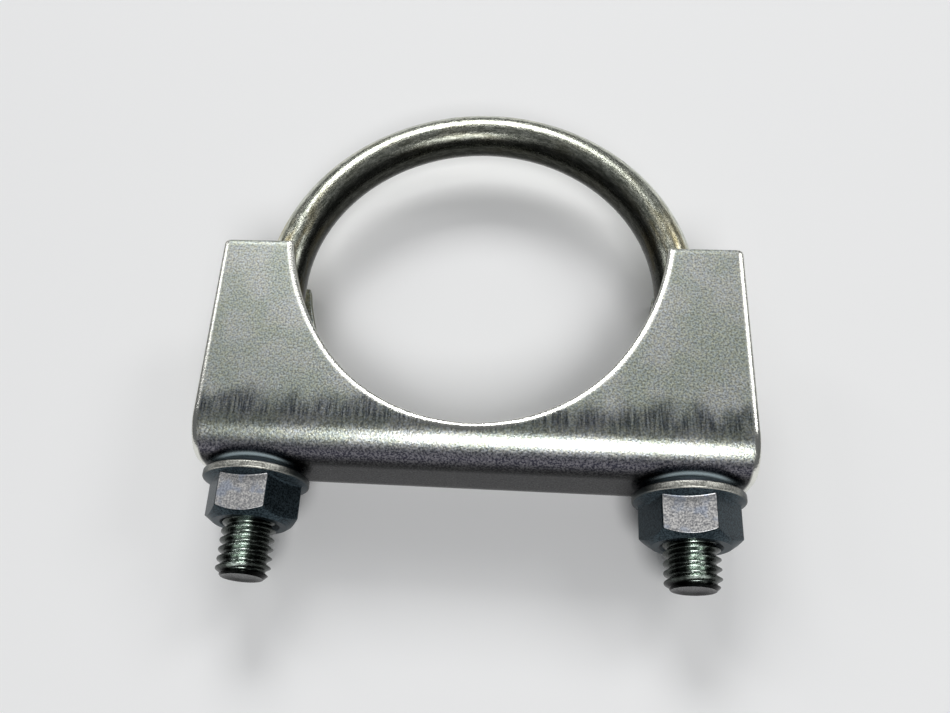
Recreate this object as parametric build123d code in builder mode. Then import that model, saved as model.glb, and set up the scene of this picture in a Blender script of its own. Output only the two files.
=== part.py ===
from build123d import *
import os
from math import cos, radians, tan

# U-bolt clamp for an exhaust pipe, in millimetres, lying on the back wall of its saddle.
# Z is the pipe's axis, and the origin is the middle of the pipe's seat.
# The ring points along +Y, and the two legs and their nuts point along -Y.

# Pipe and fits
pipe_d = 63.5
mouth_gap = 2.75
ring_gap = 1.0
leg_gap = 1.65
hole_clearance = 0.9
bore_clearance = 0.16

# Saddle, one strip folded into a channel
leg_to_end = 10.0
saddle_width = 21.8
sheet = 3.2
bend_outer_r = 7.0
grip_angle = 110.0
seat_to_web = 6.75
ear_rise = 3.3
ear_corner_r = 1.0

# U-bolt, one rod with a rolled thread on each leg, which stands out wider than the rod.
# The stub is what stands out of the nut, and one leg was cut a little longer.
rod_d = 8.2
left_stub = 9.2
right_stub = 7.1
thread_major_d = 9.4
thread_length = 28.6
run_out = 1.2
tip_bevel = 0.9

# Hexagon flange nuts, each left at its own angle when it was run up
across_flats = 14.7
nut_height = 9.9
flange_d = 18.9
flange_rim = 1.5
rim_bevel = 0.4
flange_slope = 20.0
hex_bevel_angle = 30.0
washer_face_d = 13.8
bore_mouth = 0.5
left_nut_turn = 3.0
right_nut_turn = 11.0

# Worked out from the sizes above
seat_r = pipe_d / 2
mouth_r = seat_r + mouth_gap
ring_r = seat_r + leg_gap + rod_d / 2
ring_y = seat_r + ring_gap + rod_d / 2 - ring_r
leg_xs = {"left": -ring_r, "right": ring_r}
saddle_length = 2 * (ring_r + leg_to_end)
web_depth = seat_r + seat_to_web
nut_end_y = -web_depth - nut_height
leg_tips = {"left": nut_end_y - left_stub, "right": nut_end_y - right_stub}
thread_ends = {side: tip_y + thread_length for side, tip_y in leg_tips.items()}
leg_hole_d = thread_major_d + hole_clearance
nut_bore_d = thread_major_d + bore_clearance
nut_turns = {"left": left_nut_turn, "right": right_nut_turn}

os.makedirs("parts", exist_ok=True)

# Saddle: the fold's outer line, thickened inwards and drawn along the strip
with BuildPart() as saddle:
    with BuildSketch(Plane.YZ) as channel:
        with BuildLine() as fold:
            FilletPolyline(
                (ear_rise, saddle_width / 2),
                (-web_depth, saddle_width / 2),
                (-web_depth, -saddle_width / 2),
                (ear_rise, -saddle_width / 2),
                radius=bend_outer_r,
            )
            offset(amount=sheet, side=Side.LEFT)
        make_face()
    extrude(amount=saddle_length / 2, both=True)
    # The pipe's seat crosses both walls: it fits the pipe round its foot and opens out to its mouth
    with BuildSketch(Plane.XY) as seat:
        with BuildLine():
            grip_arc = CenterArc((0, 0), seat_r, -90, grip_angle / 2)
            flare_arc = TangentArc(grip_arc @ 1, (mouth_r, ear_rise), tangent=grip_arc % 1)
            Polyline(flare_arc @ 1, (mouth_r, 2 * ear_rise), (0, 2 * ear_rise))
            mirror(about=Plane.YZ)
        make_face()
    extrude(amount=saddle_width, both=True, mode=Mode.SUBTRACT)
    # The leg holes reach from the web into the foot of both bends
    with Locations(Plane.XZ.offset(web_depth)):
        with GridLocations(2 * ring_r, 0, 2, 1):
            Hole(radius=leg_hole_d / 2)
    ear_edges = saddle.edges().filter_by(Axis.Z).group_by(Axis.Y)[-1].group_by(Axis.X)
    fillet(ear_edges[0] + ear_edges[-1], radius=ear_corner_r)
saddle.part.label = "saddle"
export_step(saddle.part, "parts/saddle.step")

# U-bolt: a round rod swept from one thread up its leg, round the ring and down to the other thread
with BuildPart() as u_bolt:
    with BuildLine(Plane.XY) as rod_line:
        Line((leg_xs["left"], thread_ends["left"]), (leg_xs["left"], ring_y))
        CenterArc((0, ring_y), ring_r, 180, -180)
        Line((leg_xs["right"], ring_y), (leg_xs["right"], thread_ends["right"]))
    with BuildSketch(Plane.XZ.offset(-thread_ends["left"])) as rod_section:
        with Locations((leg_xs["left"], 0)):
            Circle(radius=rod_d / 2)
    sweep()
    # Each thread has a bevelled tip and a cone where it runs out into the rod
    thread_r = thread_major_d / 2
    for side, leg_x in leg_xs.items():
        tip_y = leg_tips[side]
        end_y = thread_ends[side]
        with BuildSketch(Plane.XY) as thread_profile:
            with BuildLine():
                Polyline(
                    (leg_x, tip_y),
                    (leg_x + thread_r - tip_bevel, tip_y),
                    (leg_x + thread_r, tip_y + tip_bevel),
                    (leg_x + thread_r, end_y - run_out),
                    (leg_x + rod_d / 2, end_y),
                    (leg_x, end_y),
                    close=True,
                )
            make_face()
        revolve(axis=Axis((leg_x, 0, 0), (0, 1, 0)))
u_bolt.part.label = "u_bolt"
export_step(u_bolt.part, "parts/u_bolt.step")

# Nuts: heights are counted from the seat on the web, along -Y
hex_corner_r = across_flats / 2 / cos(radians(30))
bevel_drop = (hex_corner_r - washer_face_d / 2) * tan(radians(hex_bevel_angle))
slope_rise = (flange_d / 2 - nut_bore_d / 2) * tan(radians(flange_slope))
for side, leg_x in leg_xs.items():
    with BuildPart() as nut:
        # Hexagon, cut back to a cone at its outer end
        with BuildSketch(Plane.XZ.offset(web_depth)) as hexagon:
            with Locations((leg_x, 0)):
                RegularPolygon(
                    radius=across_flats / 2, side_count=6, major_radius=False, rotation=nut_turns[side]
                )
        extrude(amount=nut_height)
        with BuildSketch(Plane.XY) as bevel_cone:
            with BuildLine():
                Polyline(
                    (leg_x, -web_depth),
                    (leg_x + hex_corner_r, -web_depth),
                    (leg_x + hex_corner_r, nut_end_y + bevel_drop),
                    (leg_x + washer_face_d / 2, nut_end_y),
                    (leg_x, nut_end_y),
                    close=True,
                )
            make_face()
        revolve(axis=Axis((leg_x, 0, 0), (0, 1, 0)), mode=Mode.INTERSECT)
        # Flange with a bevelled rim, sloping up under the hexagon
        with BuildSketch(Plane.XY) as flange_profile:
            with BuildLine():
                Polyline(
                    (leg_x, -web_depth),
                    (leg_x + flange_d / 2, -web_depth),
                    (leg_x + flange_d / 2, -web_depth - flange_rim),
                    (leg_x + nut_bore_d / 2, -web_depth - flange_rim - slope_rise),
                    (leg_x, -web_depth - flange_rim - slope_rise),
                    close=True,
                )
            make_face()
            rim_corners = flange_profile.vertices().group_by(Axis.X)[-1]
            chamfer(rim_corners, length=rim_bevel)
        revolve(axis=Axis((leg_x, 0, 0), (0, 1, 0)))
        # Bore, opened out at its outer end
        with Locations(Plane.XZ.offset(web_depth)):
            with Locations((leg_x, 0)):
                Hole(radius=nut_bore_d / 2)
        outer_face = nut.faces().sort_by(Axis.Y)[0]
        mouth = outer_face.edges().sort_by(SortBy.RADIUS)[0]
        chamfer(mouth, length=bore_mouth)
    nut.part.label = f"nut_{side}"
    export_step(nut.part, f"parts/nut_{side}.step")
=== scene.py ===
from math import atan2, ceil, cos, hypot, pi, radians, sin, sqrt, tan

import bmesh
import bpy
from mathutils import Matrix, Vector


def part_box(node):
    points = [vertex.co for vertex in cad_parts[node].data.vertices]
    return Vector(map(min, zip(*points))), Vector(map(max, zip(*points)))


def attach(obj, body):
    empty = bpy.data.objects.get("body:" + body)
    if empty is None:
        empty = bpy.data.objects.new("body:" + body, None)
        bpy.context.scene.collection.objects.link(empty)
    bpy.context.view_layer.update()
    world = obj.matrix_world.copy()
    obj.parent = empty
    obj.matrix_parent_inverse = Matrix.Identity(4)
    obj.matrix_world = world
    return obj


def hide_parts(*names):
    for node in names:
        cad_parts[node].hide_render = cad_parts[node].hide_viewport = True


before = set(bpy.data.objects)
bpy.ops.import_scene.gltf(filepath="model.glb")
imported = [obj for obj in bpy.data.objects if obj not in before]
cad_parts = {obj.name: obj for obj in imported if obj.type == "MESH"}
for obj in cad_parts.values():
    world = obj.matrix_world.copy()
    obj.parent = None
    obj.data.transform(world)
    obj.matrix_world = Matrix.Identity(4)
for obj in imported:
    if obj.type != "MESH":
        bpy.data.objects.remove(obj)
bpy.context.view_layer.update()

# A U-bolt clamp for an exhaust pipe, lying on the back wall of its saddle.
# Lengths are in millimetres up to the meshes, which are in metres.
# Two points of a piece that are closer than WELD become one.
MM = 0.001
WELD = 0.001 * MM


def box_mm(node):
    """The low and the high corner of a node's box."""
    low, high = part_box(node)
    return low / MM, high / MM


# Sizes read from the frame
saddle_low, saddle_high = box_mm("saddle")
rod_low, rod_high = box_mm("u_bolt")
nut_low, nut_high = box_mm("nut_right")
half_length = saddle_high.x
half_width = saddle_high.z
ear_y = saddle_high.y
web_y = saddle_low.y
flange_r = (nut_high.x - nut_low.x) / 2
leg_x = (nut_high.x + nut_low.x) / 2
nut_height = nut_high.y - nut_low.y
thread_r = rod_high.x - leg_x

# Sizes that the frame's boxes don't give
seat_r = 31.75
mouth_gap = 2.75
grip_end = radians(110.0) / 2
sheet = 3.2
bend_r = 7.0
ear_corner_r = 1.0
roll_width = 1.3
roll_depth = 0.55
burr_r = 0.16
leg_hole_r = 5.15
leg_hole_flare = 0.25
rod_r = 4.1
right_leg_short = 2.1
thread_length = 28.6
pitch = 25.4 / 16
thread_depth = 0.86
run_out = 2.2 * pitch
run_out_gap = 0.3
tip_bevel = 1.05
tip_slope = 1.05
hex_apothem = 7.35
hex_corner_r = 0.45
hex_bevel = radians(36)
washer_face_r = 6.5
bearing_r = 7.7
rim_inner = 1.3
rim_outer = 2.3
flange_slope = radians(22)
bore_mouth = 0.62
mouth_ring = 0.1
mouth_slope = 0.9
nut_thread_gap = 0.06
nut_crest_gap = 0.2
nut_turns = {"left": radians(3.0), "right": radians(11.0)}

# Worked out from the sizes above
mouth_r = seat_r + mouth_gap
web_half = half_width - bend_r
bend_y = web_y + bend_r
bend_length = pi / 2 * (bend_r - sheet / 2)
flat_end = bend_y - bend_length - web_half
ear_corner_x = half_length - ear_corner_r
ear_corner_y = ear_y - ear_corner_r
leg_xs = {"left": -leg_x, "right": leg_x}
leg_tips = {"left": rod_low.y, "right": rod_low.y + right_leg_short}
ring_r = leg_x
ring_y = rod_high.y - rod_r - ring_r
thread_root_r = thread_r - thread_depth
nut_mouth_r = thread_r + bore_mouth


class Skin:
    """Points in millimetres, with the faces between them."""

    def __init__(self):
        self.points = []
        self.faces = []

    def net(self, lines, closed=False):
        """Joins each line of points to the next one. If closed, each line's two ends are joined too."""
        start = len(self.points)
        count = len(lines[0])
        for line in lines:
            self.points.extend(line)
        for i in range(len(lines) - 1):
            row = start + i * count
            for j in range(count if closed else count - 1):
                k = (j + 1) % count
                self.faces.append((row + j, row + k, row + count + k, row + count + j))

    def mesh(self, name):
        mesh = bpy.data.meshes.new(name)
        mesh.from_pydata([[c * MM for c in p] for p in self.points], [], self.faces)
        return mesh


def finished(mesh, name, sharp_deg=40.0):
    """Welds a mesh, turns its faces outwards and makes it a smooth object."""
    bm = bmesh.new()
    bm.from_mesh(mesh)
    bmesh.ops.remove_doubles(bm, verts=bm.verts, dist=2 * WELD)
    bmesh.ops.dissolve_degenerate(bm, edges=bm.edges, dist=WELD)
    bmesh.ops.recalc_face_normals(bm, faces=bm.faces)
    for face in bm.faces:
        face.smooth = True
    for edge in bm.edges:
        edge.smooth = edge.calc_face_angle(0.0) < radians(sharp_deg)
    bm.to_mesh(mesh)
    bm.free()
    piece = bpy.data.objects.new(name, mesh)
    bpy.context.scene.collection.objects.link(piece)
    return piece


# Saddle: one strip, laid out flat from the ears down to the middle of the web, and folded

# The seat fits the pipe up to the grip's end, and one wider arc on each side opens it out to its mouth.
# The spread is how far the wider arc's middle lies from the pipe's.
mouth_excess = mouth_r**2 + ear_y**2 - seat_r**2
mouth_shortfall = seat_r - mouth_r * sin(grip_end) + ear_y * cos(grip_end)
spread = mouth_excess / (2 * mouth_shortfall)
flare_r = seat_r + spread
flare_x = spread * sin(grip_end)
flare_y = spread * cos(grip_end)

# Lines of points run over the strip like a fan, from a middle at fan_y to its outer edge
fan_y = -3.0
ear_rows = 7
wall_rows = 22
bend_rows = 16
web_rows = 4
web_columns = 48
fan_rows = 46
roll_steps = 6
cut_rows = 5


def roll_places():
    """Distances from a cut edge at which its roll has points, closer together near the edge."""
    return [roll_width * (1 - cos(pi / 2 * i / roll_steps)) for i in range(roll_steps + 1)]


def ear_corner(x, y):
    """Rounds an ear's outer top corner."""
    a = (abs(x) - ear_corner_x) / ear_corner_r
    b = (y - ear_corner_y) / ear_corner_r
    if a <= 0 or b <= 0:
        return x, y
    out = ear_corner_x + ear_corner_r * a * sqrt(1 - b * b / 2)
    up = ear_corner_y + ear_corner_r * b * sqrt(1 - a * a / 2)
    return (out if x > 0 else -out), up


def seat_gap(x, y):
    """How far a point of the strip lies from the seat's outline."""
    if atan2(y, abs(x)) > grip_end - pi / 2:
        return hypot(abs(x) + flare_x, y - flare_y) - flare_r
    return hypot(x, y) - seat_r


def edge_distance(x, y):
    """How far a point of the flat strip lies from the nearest cut edge."""
    a = abs(x) - ear_corner_x
    b = y - ear_corner_y
    outer = min(half_length - abs(x), ear_y - y)
    if a > 0 and b > 0:
        outer = ear_corner_r - hypot(a, b)
    return max(0.0, min(outer, seat_gap(x, y)))


def roll_drop(distance, width, depth):
    """How far the face falls away at that distance from a cut edge."""
    if distance >= width:
        return 0.0
    return depth * (1 - sqrt(max(0.0, 1 - (1 - distance / width) ** 2)))


def folded(x, y, depth, side):
    """A point of the flat strip, at that depth under the outer face, on the front or back half."""
    if y >= bend_y:
        return (x, y, side * (half_width - depth))
    turn = (bend_y - y) / bend_length * pi / 2
    if turn <= pi / 2:
        r = bend_r - depth
        return (x, bend_y - r * sin(turn), side * (web_half + r * cos(turn)))
    return (x, web_y + depth, side * max(0.0, y - flat_end))


def strip_columns():
    """Pairs of points on the seat and on the strip's outer edge, from the left ear to the right one."""
    heights = [ear_y - distance for distance in roll_places()]
    top = heights[-1]
    heights += [top + (fan_y - top) * i / ear_rows for i in range(1, ear_rows + 1)]
    left = []
    for y in heights:
        seat_x = flare_x - sqrt(flare_r**2 - (y - flare_y) ** 2)
        left.append(((seat_x, y), (-half_length, y)))
    edge = [(-half_length, fan_y + (bend_y - fan_y) * i / wall_rows) for i in range(1, wall_rows)]
    edge += [(-half_length, bend_y - bend_length * i / bend_rows) for i in range(bend_rows + 1)]
    edge += [(-half_length, flat_end + web_half * i / web_rows) for i in range(web_rows - 1, 0, -1)]
    edge += [(-half_length + half_length * i / web_columns, flat_end) for i in range(web_columns + 1)]
    left += [(seat_point(outer), outer) for outer in edge]
    right = [((-p[0], p[1]), (-q[0], q[1])) for p, q in reversed(left[:-1])]
    return left + right


def reach_to_circle(dx, dy, x, y, r):
    """How far the ray from the fan's middle runs before it meets the circle round (x, y)."""
    along = x * dx + (y - fan_y) * dy
    return along + sqrt(along * along - x * x - (y - fan_y) ** 2 + r * r)


def seat_point(outer):
    """Where the line from the fan's middle to an outer point on the left crosses the seat's outline."""
    dx, dy = outer[0], outer[1] - fan_y
    length = hypot(dx, dy)
    dx, dy = dx / length, dy / length
    reach = reach_to_circle(dx, dy, flare_x, flare_y, flare_r)
    if atan2(fan_y + reach * dy, -reach * dx) <= grip_end - pi / 2:
        reach = reach_to_circle(dx, dy, 0.0, 0.0, seat_r)
    return reach * dx, fan_y + reach * dy


def strip_line(inner, outer):
    """Points from the seat's edge to the strip's outer edge, close together near both."""
    run_x = outer[0] - inner[0]
    run_y = outer[1] - inner[1]
    length = hypot(run_x, run_y)
    near = roll_places()
    middle = length - 2 * roll_width
    places = near + [roll_width + middle * (i + 1) / fan_rows for i in range(fan_rows)]
    places += [length - distance for distance in reversed(near[:-1])]
    shares = [place / length for place in places]
    return [ear_corner(inner[0] + run_x * s, inner[1] + run_y * s) for s in shares]


def outer_depth(x, y):
    """The depth of the outer face, which rolls down towards its cut edges."""
    return roll_drop(edge_distance(x, y), roll_width, roll_depth)


def inner_depth(x, y):
    """The depth of the inner face, which has a small round at its cut edges."""
    return sheet - roll_drop(edge_distance(x, y), burr_r, burr_r)


def saddle_mesh():
    """Both faces and the cut edge all round, for the front half and the back half."""
    skin = Skin()
    lines = [strip_line(inner, outer) for inner, outer in strip_columns()]
    ends = [line[-1] for line in lines if abs(line[-1][0]) > half_length - ear_corner_r / 2]
    split = len(ends) // 2
    rim = ends[:split][::-1] + lines[0][::-1] + [line[0] for line in lines]
    rim += lines[-1] + ends[split:][::-1]
    cut_height = sheet - burr_r - roll_depth
    cut_depths = [roll_depth + cut_height * i / cut_rows for i in range(cut_rows + 1)]
    for side in (1, -1):
        skin.net([[folded(x, y, outer_depth(x, y), side) for x, y in line] for line in lines])
        skin.net([[folded(x, y, inner_depth(x, y), side) for x, y in line] for line in lines])
        skin.net([[folded(x, y, depth, side) for x, y in rim] for depth in cut_depths])
    return skin.mesh("saddle_shell")


def leg_hole_cutter(x):
    """A round punch that opens out a little at the web's outer face."""
    below = 2.0
    above = 2.5
    columns = 72
    profile = [
        (leg_hole_r + leg_hole_flare + below, web_y - below),
        (leg_hole_r + leg_hole_flare, web_y),
        (leg_hole_r, web_y + leg_hole_flare),
        (leg_hole_r, web_y + sheet + above),
    ]
    skin = Skin()
    skin.net([ring_points(x, y, r, columns) for r, y in profile], closed=True)
    mesh = skin.mesh("leg_hole_cutter")
    bm = bmesh.new()
    bm.from_mesh(mesh)
    bmesh.ops.holes_fill(bm, edges=[e for e in bm.edges if e.is_boundary])
    bmesh.ops.recalc_face_normals(bm, faces=bm.faces)
    bm.to_mesh(mesh)
    bm.free()
    cutter = bpy.data.objects.new("leg_hole_cutter", mesh)
    bpy.context.scene.collection.objects.link(cutter)
    return cutter


def ring_points(x, y, r, count):
    """A circle round a leg, seen along the leg."""
    return [(x + r * sin(2 * pi * i / count), y, r * cos(2 * pi * i / count)) for i in range(count)]


def punched(piece, cutters):
    """Cuts the cutters out of a piece and removes them."""
    for cutter in cutters:
        modifier = piece.modifiers.new("punch", "BOOLEAN")
        modifier.operation = "DIFFERENCE"
        modifier.solver = "EXACT"
        modifier.object = cutter
    bpy.context.view_layer.update()
    evaluated = piece.evaluated_get(bpy.context.evaluated_depsgraph_get())
    mesh = bpy.data.meshes.new_from_object(evaluated)
    name = piece.name
    bpy.data.objects.remove(piece)
    for cutter in cutters:
        bpy.data.objects.remove(cutter)
    return finished(mesh, name)


def make_saddle():
    blank = finished(saddle_mesh(), "saddle_shell")
    return punched(blank, [leg_hole_cutter(x) for x in leg_xs.values()])


# Threads: lines of points that climb round a leg by one pitch a turn

thread_columns = 72


def thread_profile():
    """Shares of the pitch and of the thread's depth, from the middle of one root to the next one's."""
    half = [(-0.5, 0.0), (-0.42, 0.02), (-0.37, 0.08)]
    half += [(-0.34 + 0.25 * i / 4, 0.15 + 0.72 * i / 4) for i in range(5)]
    half += [(-0.055, 0.97), (0.0, 1.0)]
    return half + [(-share, height) for share, height in reversed(half[1:-1])]


def thread_net(x, foot_y, low, high, radius_at):
    """A threaded skin round a leg, from one height over foot_y to another, cut flat at both."""
    profile = thread_profile()
    first = int(low / pitch) - 2
    last = ceil(high / pitch) + 2
    lines = []
    for turn in range(first, last):
        for share, height in profile:
            line = []
            for i in range(thread_columns + 1):
                angle = 2 * pi * i / thread_columns
                up = (turn + share + i / thread_columns) * pitch
                r = radius_at(up, height)
                line.append((x + r * sin(angle), foot_y + up, r * cos(angle)))
            lines.append(line)
    skin = Skin()
    skin.net(lines)
    bm = bmesh.new()
    bm.from_mesh(skin.mesh("thread"))
    bmesh.ops.remove_doubles(bm, verts=bm.verts, dist=WELD)
    for height, outside in ((low, -1), (high, 1)):
        bmesh.ops.bisect_plane(
            bm,
            geom=bm.verts[:] + bm.edges[:] + bm.faces[:],
            plane_co=(0, (foot_y + height) * MM, 0),
            plane_no=(0, outside, 0),
            dist=WELD / 2,
            clear_outer=True,
        )
    return bm


def loop_at(bm, y):
    """The open edges that lie in the plane at that height."""
    flat = 0.01 * MM
    open_edges = [edge for edge in bm.edges if edge.is_boundary]
    return [edge for edge in open_edges if all(abs(vert.co.y - y * MM) < flat for vert in edge.verts)]


def by_leg(edges, x):
    """Those of the edges that lie round the leg at x."""
    reach = 6.0 * MM
    return [edge for edge in edges if abs(edge.verts[0].co.x - x * MM) < reach]


def stud_radius(up, height):
    """The stud's radius at a height over its tip, bevelled at the tip and running out into the rod."""
    r = thread_root_r + thread_depth * height
    fade = min(1.0, max(0.0, (thread_length - run_out_gap - up) / run_out))
    r = rod_r + (r - rod_r) * fade * fade * (3 - 2 * fade)
    bevel = thread_r - tip_bevel + tip_slope * max(0.0, up)
    return min(r, bevel)


def make_u_bolt():
    """Both threaded studs, and the plain rod joined to their ends."""
    bm = bmesh.new()
    for side, x in leg_xs.items():
        tip = leg_tips[side]
        stud = thread_net(x, tip, 0.0, thread_length, stud_radius)
        mesh = bpy.data.meshes.new("stud")
        stud.to_mesh(mesh)
        stud.free()
        bm.from_mesh(mesh)
        end_face(bm, x, tip)
    skin = Skin()
    skin.net(rod_lines(), closed=True)
    bm.from_mesh(skin.mesh("rod"))
    join_reach = 1.0 * MM
    for side, x in leg_xs.items():
        end = (leg_tips[side] + thread_length) * MM
        open_edges = [edge for edge in by_leg(bm.edges, x) if edge.is_boundary]
        near = [edge for edge in open_edges if abs(edge.verts[0].co.y - end) < join_reach]
        bmesh.ops.bridge_loops(bm, edges=near)
    mesh = bpy.data.meshes.new("u_bolt_rod")
    bm.to_mesh(mesh)
    bm.free()
    return finished(mesh, "u_bolt_rod", sharp_deg=50.0)


def end_face(bm, x, tip):
    """Closes a leg's tip with a face that is dished a little, as the rolling leaves it."""
    face = bmesh.ops.contextual_create(bm, geom=by_leg(loop_at(bm, tip), x))["faces"][0]
    dish = ((0.25, 0.02), (0.7, 0.22), (0.9, 0.12))
    for inset, depth in dish:
        bmesh.ops.inset_individual(bm, faces=[face], thickness=inset * MM, depth=0)
        for vert in face.verts:
            vert.co.y += depth * MM
    bmesh.ops.poke(bm, faces=[face])


def rod_lines():
    """Rings of points along the plain rod, from the left thread round the ring to the right one."""
    columns = 64
    leg_rows = 12
    ring_rows = 144
    gap = 0.35
    left_y = leg_tips["left"] + thread_length + gap
    right_y = leg_tips["right"] + thread_length + gap
    lines = []
    for i in range(leg_rows):
        lines.append(ring_points(-leg_x, left_y + (ring_y - left_y) * i / leg_rows, rod_r, columns))
    for i in range(ring_rows + 1):
        turn = pi * i / ring_rows
        middle = Vector((-ring_r * cos(turn), ring_y + ring_r * sin(turn), 0))
        out = Vector((-cos(turn), sin(turn), 0))
        ring = []
        for j in range(columns):
            angle = 2 * pi * j / columns
            ring.append(tuple(middle - out * rod_r * sin(angle) + Vector((0, 0, rod_r * cos(angle)))))
        lines.append(ring)
    for i in range(1, leg_rows + 1):
        left_ring = ring_points(-leg_x, ring_y + (right_y - ring_y) * i / leg_rows, rod_r, columns)
        lines.append([(-x, y, z) for x, y, z in left_ring])
    return lines


# Nuts: an outline in each half plane through the leg, from the bore's outer mouth round to its inner one


def soft_corner(before, corner, after, radius, steps):
    """Points of the round that stands in for a corner of an outline."""
    corner = Vector(corner)
    to_before = Vector(before) - corner
    to_after = Vector(after) - corner
    a = to_before.normalized()
    b = to_after.normalized()
    longest_share = 0.45
    longest = longest_share * min(to_before.length, to_after.length)
    trim = min(radius / tan(a.angle(b) / 2), longest)
    start = corner + a * trim
    end = corner + b * trim
    points = []
    for i in range(steps + 1):
        t = i / steps
        points.append(tuple(start * (1 - t) ** 2 + corner * 2 * t * (1 - t) + end * t * t))
    return points


def hexagon_r(angle):
    """The hexagon's radius at that angle, with its corners rounded a little."""
    side = pi / 3
    near = (angle + side / 2) % side - side / 2
    inner = hex_apothem - hex_corner_r
    flat_limit = inner * tan(side / 2)
    across = hex_apothem * tan(abs(near))
    if across <= flat_limit:
        return hex_apothem / cos(near)
    corner = inner / cos(side / 2)
    off = side / 2 - abs(near)
    return corner * cos(off) + sqrt(max(0.0, hex_corner_r**2 - (corner * sin(off)) ** 2))


def nut_outline(angle):
    """(radius, height over the web) points, outer end first, with a round at each corner between."""
    hex_r = hexagon_r(angle)
    corners = [
        (nut_mouth_r, nut_height),
        (washer_face_r, nut_height),
        (hex_r, nut_height - (hex_r - washer_face_r) * tan(hex_bevel)),
        (hex_r, rim_outer + (flange_r - hex_r) * tan(flange_slope)),
        (flange_r, rim_outer),
        (flange_r, rim_inner),
        (bearing_r, 0.0),
        (nut_mouth_r, 0.0),
    ]
    rounds = [0.25, 0.22, 0.5, 0.3, 0.3, 0.4]
    round_steps = 5
    points = [corners[0]]
    for i, radius in enumerate(rounds):
        points += soft_corner(corners[i], corners[i + 1], corners[i + 2], radius, round_steps)
    points.append(corners[-1])
    return points


def nut_radius(up, height):
    """The nut's own thread, a little clear of the stud's, opening out into a mouth at each end."""
    thread = thread_root_r + max(thread_depth * height + nut_thread_gap, nut_crest_gap)
    mouth = nut_mouth_r - mouth_ring - mouth_slope * min(nut_height - up, up)
    return max(thread, mouth)


def hexagon_angles():
    """Angles round the nut, closer together at the hexagon's corners."""
    shares = [0, 0.12, 0.24, 0.36, 0.46, 0.55, 0.63, 0.70]
    shares += [0.76, 0.81, 0.85, 0.89, 0.925, 0.955, 0.98, 1.0]
    half = [pi / 6 * s for s in shares]
    side = [-a for a in reversed(half[1:])] + half
    return [pi / 3 * k + a for k in range(6) for a in side[:-1]]


def zip_rings(bm, x, y):
    """Closes the narrow flat ring between the bore's mouth and the nut's skin at that height."""
    inner = []
    outer = []
    for vert in {vert for edge in loop_at(bm, y) for vert in edge.verts}:
        out = vert.co.x / MM - x
        up = vert.co.z / MM
        ring = outer if hypot(out, up) > nut_mouth_r - mouth_ring / 2 else inner
        ring.append((atan2(out, up), vert))
    for ring in (inner, outer):
        ring.sort(key=lambda item: item[0])
        ring.append((ring[0][0] + 2 * pi, ring[0][1]))
    i = 0
    j = 0
    while i < len(inner) - 1 or j < len(outer) - 1:
        inner_left = i < len(inner) - 1
        outer_left = j < len(outer) - 1
        if not outer_left or (inner_left and inner[i + 1][0] < outer[j + 1][0]):
            bm.faces.new((inner[i][1], outer[j][1], inner[i + 1][1]))
            i += 1
        else:
            bm.faces.new((inner[i][1], outer[j][1], outer[j + 1][1]))
            j += 1


def make_nut(side):
    """One nut: its outline turned round the leg, and the thread in its bore."""
    x = leg_xs[side]
    lines = []
    for angle in hexagon_angles():
        place = angle - nut_turns[side]
        lines.append([(x + r * sin(place), web_y - up, r * cos(place)) for r, up in nut_outline(angle)])
    lines.append(lines[0])
    skin = Skin()
    skin.net(lines)
    tip = leg_tips[side]
    low = web_y - nut_height - tip
    bm = thread_net(x, tip, low, low + nut_height, lambda up, height: nut_radius(up - low, height))
    bm.from_mesh(skin.mesh("nut"))
    bmesh.ops.remove_doubles(bm, verts=bm.verts, dist=WELD)
    zip_rings(bm, x, web_y)
    zip_rings(bm, x, web_y - nut_height)
    name = f"nut_{side}_body"
    mesh = bpy.data.meshes.new(name)
    bm.to_mesh(mesh)
    bm.free()
    return finished(mesh, name, sharp_deg=50.0)


# Zinc: a metal with a fine grain, in three finishes


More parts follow.
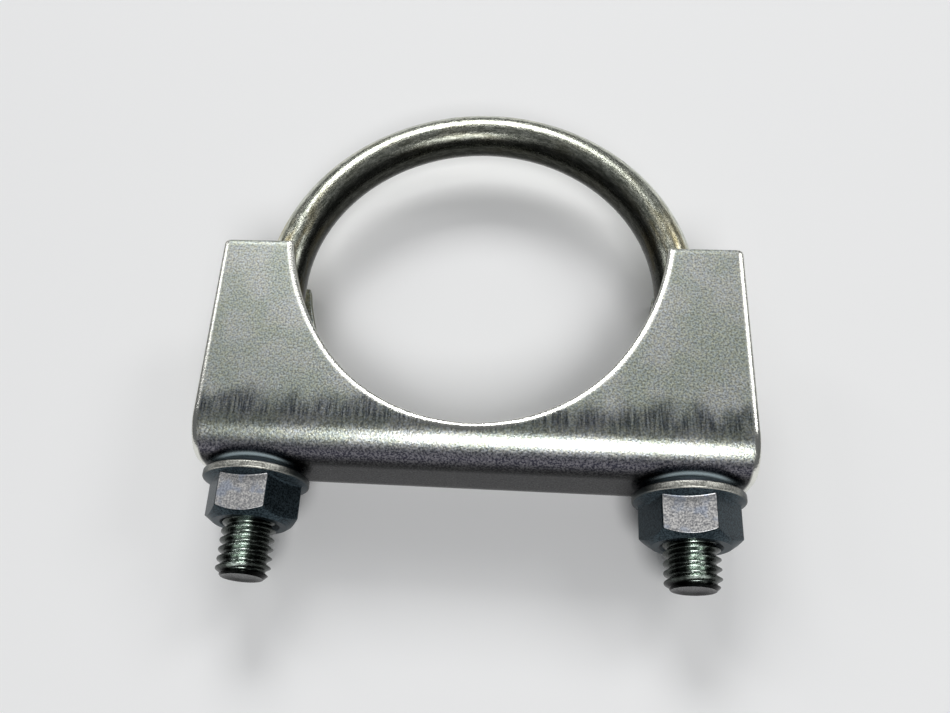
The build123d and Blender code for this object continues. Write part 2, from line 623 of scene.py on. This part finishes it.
class Zinc:
    """A metal material, whose nodes are added one at a time. Values are numbers, colours or sockets."""

    def __init__(self, name):
        self.material = bpy.data.materials.new(name)
        self.material.use_nodes = True
        self.tree = self.material.node_tree
        self.shader = self.tree.nodes["Principled BSDF"]
        self.shader.inputs["Metallic"].default_value = 1.0
        coordinates = self.tree.nodes.new("ShaderNodeTexCoord")
        self.place = self.vector("MULTIPLY", coordinates.outputs["Object"], (1 / MM, 1 / MM, 1 / MM))
        self.normal = coordinates.outputs["Normal"]

    def give(self, socket, value):
        if isinstance(value, bpy.types.NodeSocket):
            self.tree.links.new(value, socket)
        else:
            socket.default_value = value

    def math(self, operation, *values):
        node = self.tree.nodes.new("ShaderNodeMath")
        node.operation = operation
        for socket, value in zip(node.inputs, values):
            self.give(socket, value)
        return node.outputs[0]

    def vector(self, operation, a, b):
        node = self.tree.nodes.new("ShaderNodeVectorMath")
        node.operation = operation
        self.give(node.inputs[0], a)
        self.give(node.inputs[1], b)
        return node.outputs[0]

    def axis_of(self, vector, name):
        node = self.tree.nodes.new("ShaderNodeSeparateXYZ")
        self.give(node.inputs[0], vector)
        return node.outputs[name]

    def axis(self, name):
        return self.axis_of(self.place, name)

    def attribute(self, name, output="Fac"):
        node = self.tree.nodes.new("ShaderNodeAttribute")
        node.attribute_name = name
        return node.outputs[output]

    def noise(self, size_mm, detail=2.0, where=None, stretch=(1, 1, 1)):
        """A value round 0.5 that changes over about that many millimetres."""
        node = self.tree.nodes.new("ShaderNodeTexNoise")
        node.inputs["Scale"].default_value = 1 / size_mm
        node.inputs["Detail"].default_value = detail
        self.give(node.inputs["Vector"], self.vector("DIVIDE", where or self.place, stretch))
        return node.outputs["Fac"]

    def ramp(self, value, low, high, start=0.0, end=1.0):
        """Start up to the low value, end from the high value, and a soft change between them."""
        node = self.tree.nodes.new("ShaderNodeMapRange")
        node.interpolation_type = "SMOOTHSTEP"
        for i, item in enumerate((value, low, high, start, end)):
            self.give(node.inputs[i], item)
        return node.outputs[0]

    def blend(self, share, a, b, kind="MIX"):
        node = self.tree.nodes.new("ShaderNodeMix")
        node.data_type = "RGBA"
        node.blend_type = kind
        for socket, value in ((node.inputs[0], share), (node.inputs[6], a), (node.inputs[7], b)):
            self.give(socket, value)
        return node.outputs[2]

    def tinted(self, colour, tint):
        """The colour multiplied by the tint."""
        return self.blend(1.0, colour, tint, "MULTIPLY")

    def mottle(self, value, low, high, a, b):
        """Colour a up to the low value, colour b from the high value, and a soft change between them."""
        return self.blend(self.ramp(value, low, high), a, b)

    def between(self, share, a, b):
        """The number that lies that share of the way from a to b."""
        return self.math("ADD", a, self.math("MULTIPLY", share, self.math("SUBTRACT", b, a)))

    def diagonal(self, a, b):
        """The length of the diagonal over a and b."""
        squares = self.math("ADD", self.math("MULTIPLY", a, a), self.math("MULTIPLY", b, b))
        return self.math("SQRT", squares)

    def finish(self, colour, rough, height, depth_mm):
        """Joins a colour, a roughness and a bump of that depth to the metal."""
        self.give(self.shader.inputs["Base Color"], colour)
        self.give(self.shader.inputs["Roughness"], rough)
        bump = self.tree.nodes.new("ShaderNodeBump")
        bump.inputs["Distance"].default_value = depth_mm * MM
        self.give(bump.inputs["Height"], height)
        self.give(self.shader.inputs["Normal"], bump.outputs["Normal"])
        return self.material


def saddle_zinc():
    """Dull grained sheet, burnished where the die rolled its edges and dragged over its bends, with
    painted shade low on the bend and on the web and a painted reflection of each nut's rim.
    """
    zinc = Zinc("saddle_zinc")
    y = zinc.axis("Y")
    grain = zinc.noise(0.2, 3.0)
    specks = zinc.noise(0.34, 3.0)
    streaks = zinc.noise(0.34, 3.0, stretch=(1, 14, 1))
    smudges = zinc.noise(4.0, 2.0, stretch=(1, 3, 1))

    # Specks on the walls, with faint yellow, blue and green tints
    tints = zinc.mottle(zinc.noise(0.45), 0.35, 0.65, (1, 1, 0.86, 1), (0.9, 0.96, 1, 1))
    patches = zinc.mottle(zinc.noise(6.0, 3.0), 0.35, 0.65, (1, 1, 1, 1), (0.84, 0.88, 0.82, 1))
    colour = zinc.tinted(zinc.ramp(specks, 0.3, 0.7, 0.28, 0.68), zinc.tinted(tints, patches))

    # Streaks where the die dragged over the walls' foot, tinted darker: real drag marks, and a painted
    # dark reflection
    drag_top = zinc.ramp(smudges, 0.3, 0.7, bend_y + 2.2, bend_y + 4.8)
    dragged = zinc.ramp(zinc.math("SUBTRACT", y, drag_top), -2.6, 2.2, 1.0, 0.0)
    # Painted dark reflection, together with the drag marks' own streaky tint
    drag_marks_and_shade_tint = zinc.mottle(streaks, 0.3, 0.7, (0.34, 0.36, 0.42, 1), (0.74, 0.74, 0.76, 1))
    drag_marks_and_shade_share = zinc.math("MULTIPLY", dragged, zinc.ramp(y, bend_y - 1.0, bend_y + 0.4))
    colour = zinc.blend(drag_marks_and_shade_share, colour, zinc.tinted(colour, drag_marks_and_shade_tint))

    # Painted shade: violet flecks low on the bend, and nearly black on the web
    violet_painted_shade = zinc.ramp(y, bend_y - 5.8, bend_y - 3.8, 1.0, 0.0)
    painted_shade_flecks = zinc.mottle(specks, 0.38, 0.62, (0.12, 0.12, 0.17, 1), (0.56, 0.54, 0.6, 1))
    colour = zinc.blend(violet_painted_shade, colour, painted_shade_flecks)
    # Painted shade that turns the web nearly black
    below = zinc.ramp(y, bend_y - 6.9, bend_y - 4.6, 1.0, 0.0)
    dark = zinc.mottle(specks, 0.4, 0.66, (0.008, 0.008, 0.009, 1), (0.045, 0.045, 0.045, 1))
    colour = zinc.blend(below, colour, dark)

    # A painted reflection of each nut's rim: a pale oval round each leg, seen as a crescent low on the
    # bend
    out = zinc.math("SUBTRACT", zinc.math("ABSOLUTE", zinc.axis("X")), leg_x)
    oval = zinc.diagonal(zinc.math("DIVIDE", out, 1.35), zinc.axis("Z"))
    painted_rim_reflection = zinc.ramp(oval, 6.9, 7.9, 1.0, 0.0)
    painted_rim_reflection = zinc.math("MULTIPLY", painted_rim_reflection, zinc.ramp(zinc.math("ABSOLUTE", out), 3.5, 8.5, 1.0, 0.0))
    painted_rim_reflection = zinc.math("MULTIPLY", painted_rim_reflection, zinc.ramp(y, bend_y - 5.6, bend_y - 4.6, 1.0, 0.0))
    colour = zinc.blend(painted_rim_reflection, colour, (0.78, 0.95, 1.0, 1))
    # Less metallic where the painted reflection lies, so that it shows pale under the lamps
    zinc.give(zinc.shader.inputs["Metallic"], zinc.ramp(painted_rim_reflection, 0.0, 1.0, 1.0, 0.1))

    # Pale rolled edges and darker cut faces
    roll = zinc.ramp(zinc.attribute("roll"), 0.05, 0.35)
    colour = zinc.blend(roll, colour, (0.82, 0.82, 0.76, 1))
    cut_colour = zinc.mottle(specks, 0.35, 0.65, (0.16, 0.17, 0.12, 1), (0.34, 0.34, 0.26, 1))
    colour = zinc.blend(zinc.attribute("cut"), colour, cut_colour)

    rough = zinc.ramp(grain, 0.3, 0.7, 0.38, 0.5)
    drag_rough = zinc.ramp(streaks, 0.35, 0.65, 0.27, 0.36)
    rough = zinc.between(dragged, rough, drag_rough)
    # Smoother on the rolled edges and under the painted reflection
    smooth = zinc.math("MAXIMUM", roll, painted_rim_reflection)
    rough = zinc.math("MULTIPLY", rough, zinc.ramp(smooth, 0.0, 1.0, 1.0, 0.6))
    return zinc.finish(colour, rough, specks, 0.03)


def rod_zinc():
    """Drawn rod, glossy, with streaks along it and a brown and green tint in places, and with painted
    shade and highlights.
    """
    zinc = Zinc("rod_zinc")
    run = zinc.attribute("run", "Vector")
    streaks = zinc.noise(0.4, 3.0, where=run, stretch=(5, 1, 1))
    grain = zinc.noise(0.24, 3.0, where=run, stretch=(2, 1, 1))
    patches = zinc.noise(2.0, 3.0, where=run, stretch=(5, 1, 1))
    colour = zinc.mottle(streaks, 0.3, 0.7, (0.32, 0.34, 0.28, 1), (0.78, 0.8, 0.7, 1))
    thread = zinc.ramp(zinc.axis("Y"), web_y - 1, web_y + 1, 1.0, 0.0)

    # Brown patches on the plain rod, fainter towards the ring's top
    low = zinc.ramp(zinc.axis("Y"), -2.0, 22.0, 1.0, 0.15)
    gold = zinc.math("MULTIPLY", low, zinc.ramp(patches, 0.45, 0.65))
    gold = zinc.math("MULTIPLY", gold, zinc.math("SUBTRACT", 1.0, thread))
    colour = zinc.blend(gold, colour, (0.56, 0.46, 0.22, 1))

    # Painted shade on the ring's inner side, down both sides of a thread and on its bevelled tip, and a
    # painted highlight along the top and bottom of a thread
    across = zinc.axis_of(run, "Y")
    # Painted shade, darkest on the ring's inner side
    outside = zinc.ramp(across, -3.2, -0.4, 0.08, 1.0)
    up = zinc.math("ABSOLUTE", zinc.axis_of(run, "Z"))
    side = zinc.math("ABSOLUTE", across)
    # Painted highlight where a thread looks up or down, painted shade down its sides
    facing = zinc.ramp(zinc.math("DIVIDE", side, zinc.math("ADD", up, 0.01)), 0.12, 0.55, 1.1, 0.1)
    shade = zinc.between(thread, outside, facing)
    tip_y = zinc.ramp(zinc.axis("X"), -1, 1, leg_tips["left"], leg_tips["right"])
    # Painted shade on a leg's bevelled tip
    painted_tip_shade = zinc.ramp(zinc.math("SUBTRACT", zinc.axis("Y"), tip_y), 0.7, 1.2, 0.03, 1.0)
    colour = zinc.tinted(colour, zinc.math("MULTIPLY", shade, painted_tip_shade))

    colour = zinc.blend(thread, colour, zinc.tinted(colour, (0.86, 0.96, 1.0, 1)))
    rough = zinc.ramp(grain, 0.3, 0.7, 0.19, 0.32)
    return zinc.finish(colour, rough, grain, 0.02)


def nut_zinc():
    """Forged and cut nuts, glossy, speckled, with a blue and green tint, and with painted light and
    shade by which way a face looks.
    """
    zinc = Zinc("nut_zinc")
    grain = zinc.noise(0.3, 3.0)
    patches = zinc.noise(2.5)
    out = zinc.math("SUBTRACT", zinc.math("ABSOLUTE", zinc.axis("X")), leg_x)
    up = zinc.math("ABSOLUTE", zinc.axis("Z"))
    radius = zinc.diagonal(out, up)
    colour = zinc.mottle(grain, 0.32, 0.68, (0.55, 0.55, 0.57, 1), (1.0, 0.98, 0.95, 1))
    colour = zinc.blend(zinc.ramp(patches, 0.5, 0.65, 0.0, 0.5), colour, (0.48, 0.58, 0.78, 1))

    # Painted light: bright where a face looks straight up or down, and painted shade elsewhere
    face_up = zinc.math("ABSOLUTE", zinc.axis_of(zinc.normal, "Z"))
    facing = zinc.ramp(face_up, 0.8, 0.95)
    # Painted shade for the faces that look sideways
    side = zinc.mottle(grain, 0.35, 0.65, (0.012, 0.02, 0.026, 1), (0.06, 0.085, 0.1, 1))
    colour = zinc.blend(facing, side, colour)

    # The flange's rim, with a painted highlight above and below the leg and painted shade at its sides
    rim = zinc.ramp(radius, flange_r - 0.35, flange_r - 0.15)
    # Painted highlight where the rim looks up or down, painted shade at its sides
    rim_painted_light_share = zinc.ramp(zinc.math("DIVIDE", up, radius), 0.5, 0.95)
    rim_highlight_colour = zinc.mottle(grain, 0.35, 0.65, (0.4, 0.4, 0.36, 1), (0.76, 0.75, 0.68, 1))
    colour = zinc.blend(rim, colour, zinc.blend(rim_painted_light_share, (0.07, 0.08, 0.08, 1), rim_highlight_colour))
    rough = zinc.ramp(grain, 0.3, 0.7, 0.34, 0.48)
    return zinc.finish(colour, rough, grain, 0.025)


def mark(mesh, name, values):
    """Stores a number for each point of a mesh, for its material to read."""
    layer = mesh.attributes.new(name, "FLOAT", "POINT")
    layer.data.foreach_set("value", values)


def mark_saddle(mesh):
    """Finds how near each point lies to a rolled edge, and whether it lies on a cut face."""
    on_edge = 0.02
    below_roll = roll_depth + 0.1
    roll = []
    cut = []
    for vert in mesh.vertices:
        x, y, z = vert.co / MM
        depth = half_width - abs(z)
        strip_y = y
        if y < bend_y:
            out = abs(z) - web_half
            if out > 0:
                depth = bend_r - hypot(y - bend_y, out)
                strip_y = bend_y - atan2(bend_y - y, out) / (pi / 2) * bend_length
            else:
                depth = y - web_y
                strip_y = flat_end + abs(z)
        distance = edge_distance(x, strip_y)
        from_edge = max(0.0, min(seat_gap(x, strip_y), half_length - abs(x)))
        roll.append(1 - min(1.0, from_edge / roll_width) if depth < below_roll else 0.0)
        cut.append(1.0 if distance < on_edge and depth > below_roll else 0.0)
    mark(mesh, "roll", roll)
    mark(mesh, "cut", cut)


def mark_rod(mesh):
    """Stores where each point lies along the rod, across it towards the ring's outside, and up."""
    layer = mesh.attributes.new("run", "FLOAT_VECTOR", "POINT")
    run = []
    for vert in mesh.vertices:
        x, y, z = vert.co / MM
        if y < ring_y:
            along = ring_y - y + ring_r * pi / 2
            across = abs(x) - ring_r
        else:
            along = ring_r * atan2(abs(x), y - ring_y)
            across = hypot(x, y - ring_y) - ring_r
        run += [along if x > 0 else -along, across, z]
    layer.data.foreach_set("vector", run)


def dress():
    saddle = make_saddle()
    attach(saddle, "saddle")
    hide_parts("saddle")
    mark_saddle(saddle.data)
    saddle.data.materials.append(saddle_zinc())
    rod = make_u_bolt()
    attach(rod, "u_bolt")
    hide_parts("u_bolt")
    mark_rod(rod.data)
    rod.data.materials.append(rod_zinc())
    nut_material = nut_zinc()
    for side in ("left", "right"):
        nut = make_nut(side)
        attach(nut, f"nut_{side}")
        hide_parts(f"nut_{side}")
        nut.data.materials.append(nut_material)


# Studio


def area_lamp(name, direction, size, power):
    """A soft lamp one metre from the clamp in that direction, facing it."""
    lamp = bpy.data.lights.new(name, "AREA")
    lamp.shape = "RECTANGLE"
    lamp.size, lamp.size_y = size
    lamp.energy = power
    holder = bpy.data.objects.new(name, lamp)
    holder.location = Vector(direction).normalized()
    holder.rotation_euler = Vector(direction).to_track_quat("Z", "Y").to_euler()
    bpy.context.scene.collection.objects.link(holder)


def studio():
    """A pale floor under the clamp, four soft lamps and a dim grey sky."""
    scene = bpy.context.scene
    scene.view_settings.view_transform = "Standard"
    world = bpy.data.worlds.new("studio")
    world.use_nodes = True
    background = world.node_tree.nodes["Background"]
    background.inputs["Color"].default_value = (0.13, 0.135, 0.14, 1)
    scene.world = world
    mesh = bpy.data.meshes.new("floor")
    half = 1.5
    z = saddle_low.z * MM
    corners = [(-half, -half, z), (half, -half, z), (half, half, z), (-half, half, z)]
    mesh.from_pydata(corners, [], [(0, 1, 2, 3)])
    floor = bpy.data.objects.new("floor", mesh)
    scene.collection.objects.link(floor)
    pale = bpy.data.materials.new("floor_pale")
    pale.use_nodes = True
    shader = pale.node_tree.nodes["Principled BSDF"]
    shader.inputs["Base Color"].default_value = (0.92, 0.92, 0.92, 1)
    shader.inputs["Roughness"].default_value = 0.9
    floor.data.materials.append(pale)
    area_lamp("front", (0.1, -0.6, 0.8), (0.4, 0.42), 4.8)
    area_lamp("behind", (-0.1, 0.75, 0.66), (0.5, 0.3), 4.0)
    area_lamp("right_side", (0.6, 0.45, 0.6), (0.3, 0.3), 1.3)
    area_lamp("left_side", (-0.66, 0.48, 0.58), (0.15, 0.3), 0.6)


def add_camera():
    """Looks down on the clamp from above and beyond the tips of its legs."""
    lens = bpy.data.cameras.new("camera")
    lens.sensor_width = 36.0
    lens.lens = 34.471
    lens.shift_x = 0.06446
    lens.shift_y = 0.00044
    lens.clip_start = 0.005
    camera = bpy.data.objects.new("camera", lens)
    camera.location = (0.0056043, -0.0875766, 0.1527839)
    camera.rotation_euler = (radians(25.658), radians(4.3024), radians(4.1549))
    bpy.context.scene.collection.objects.link(camera)
    bpy.context.scene.camera = camera


dress()
studio()
add_camera()
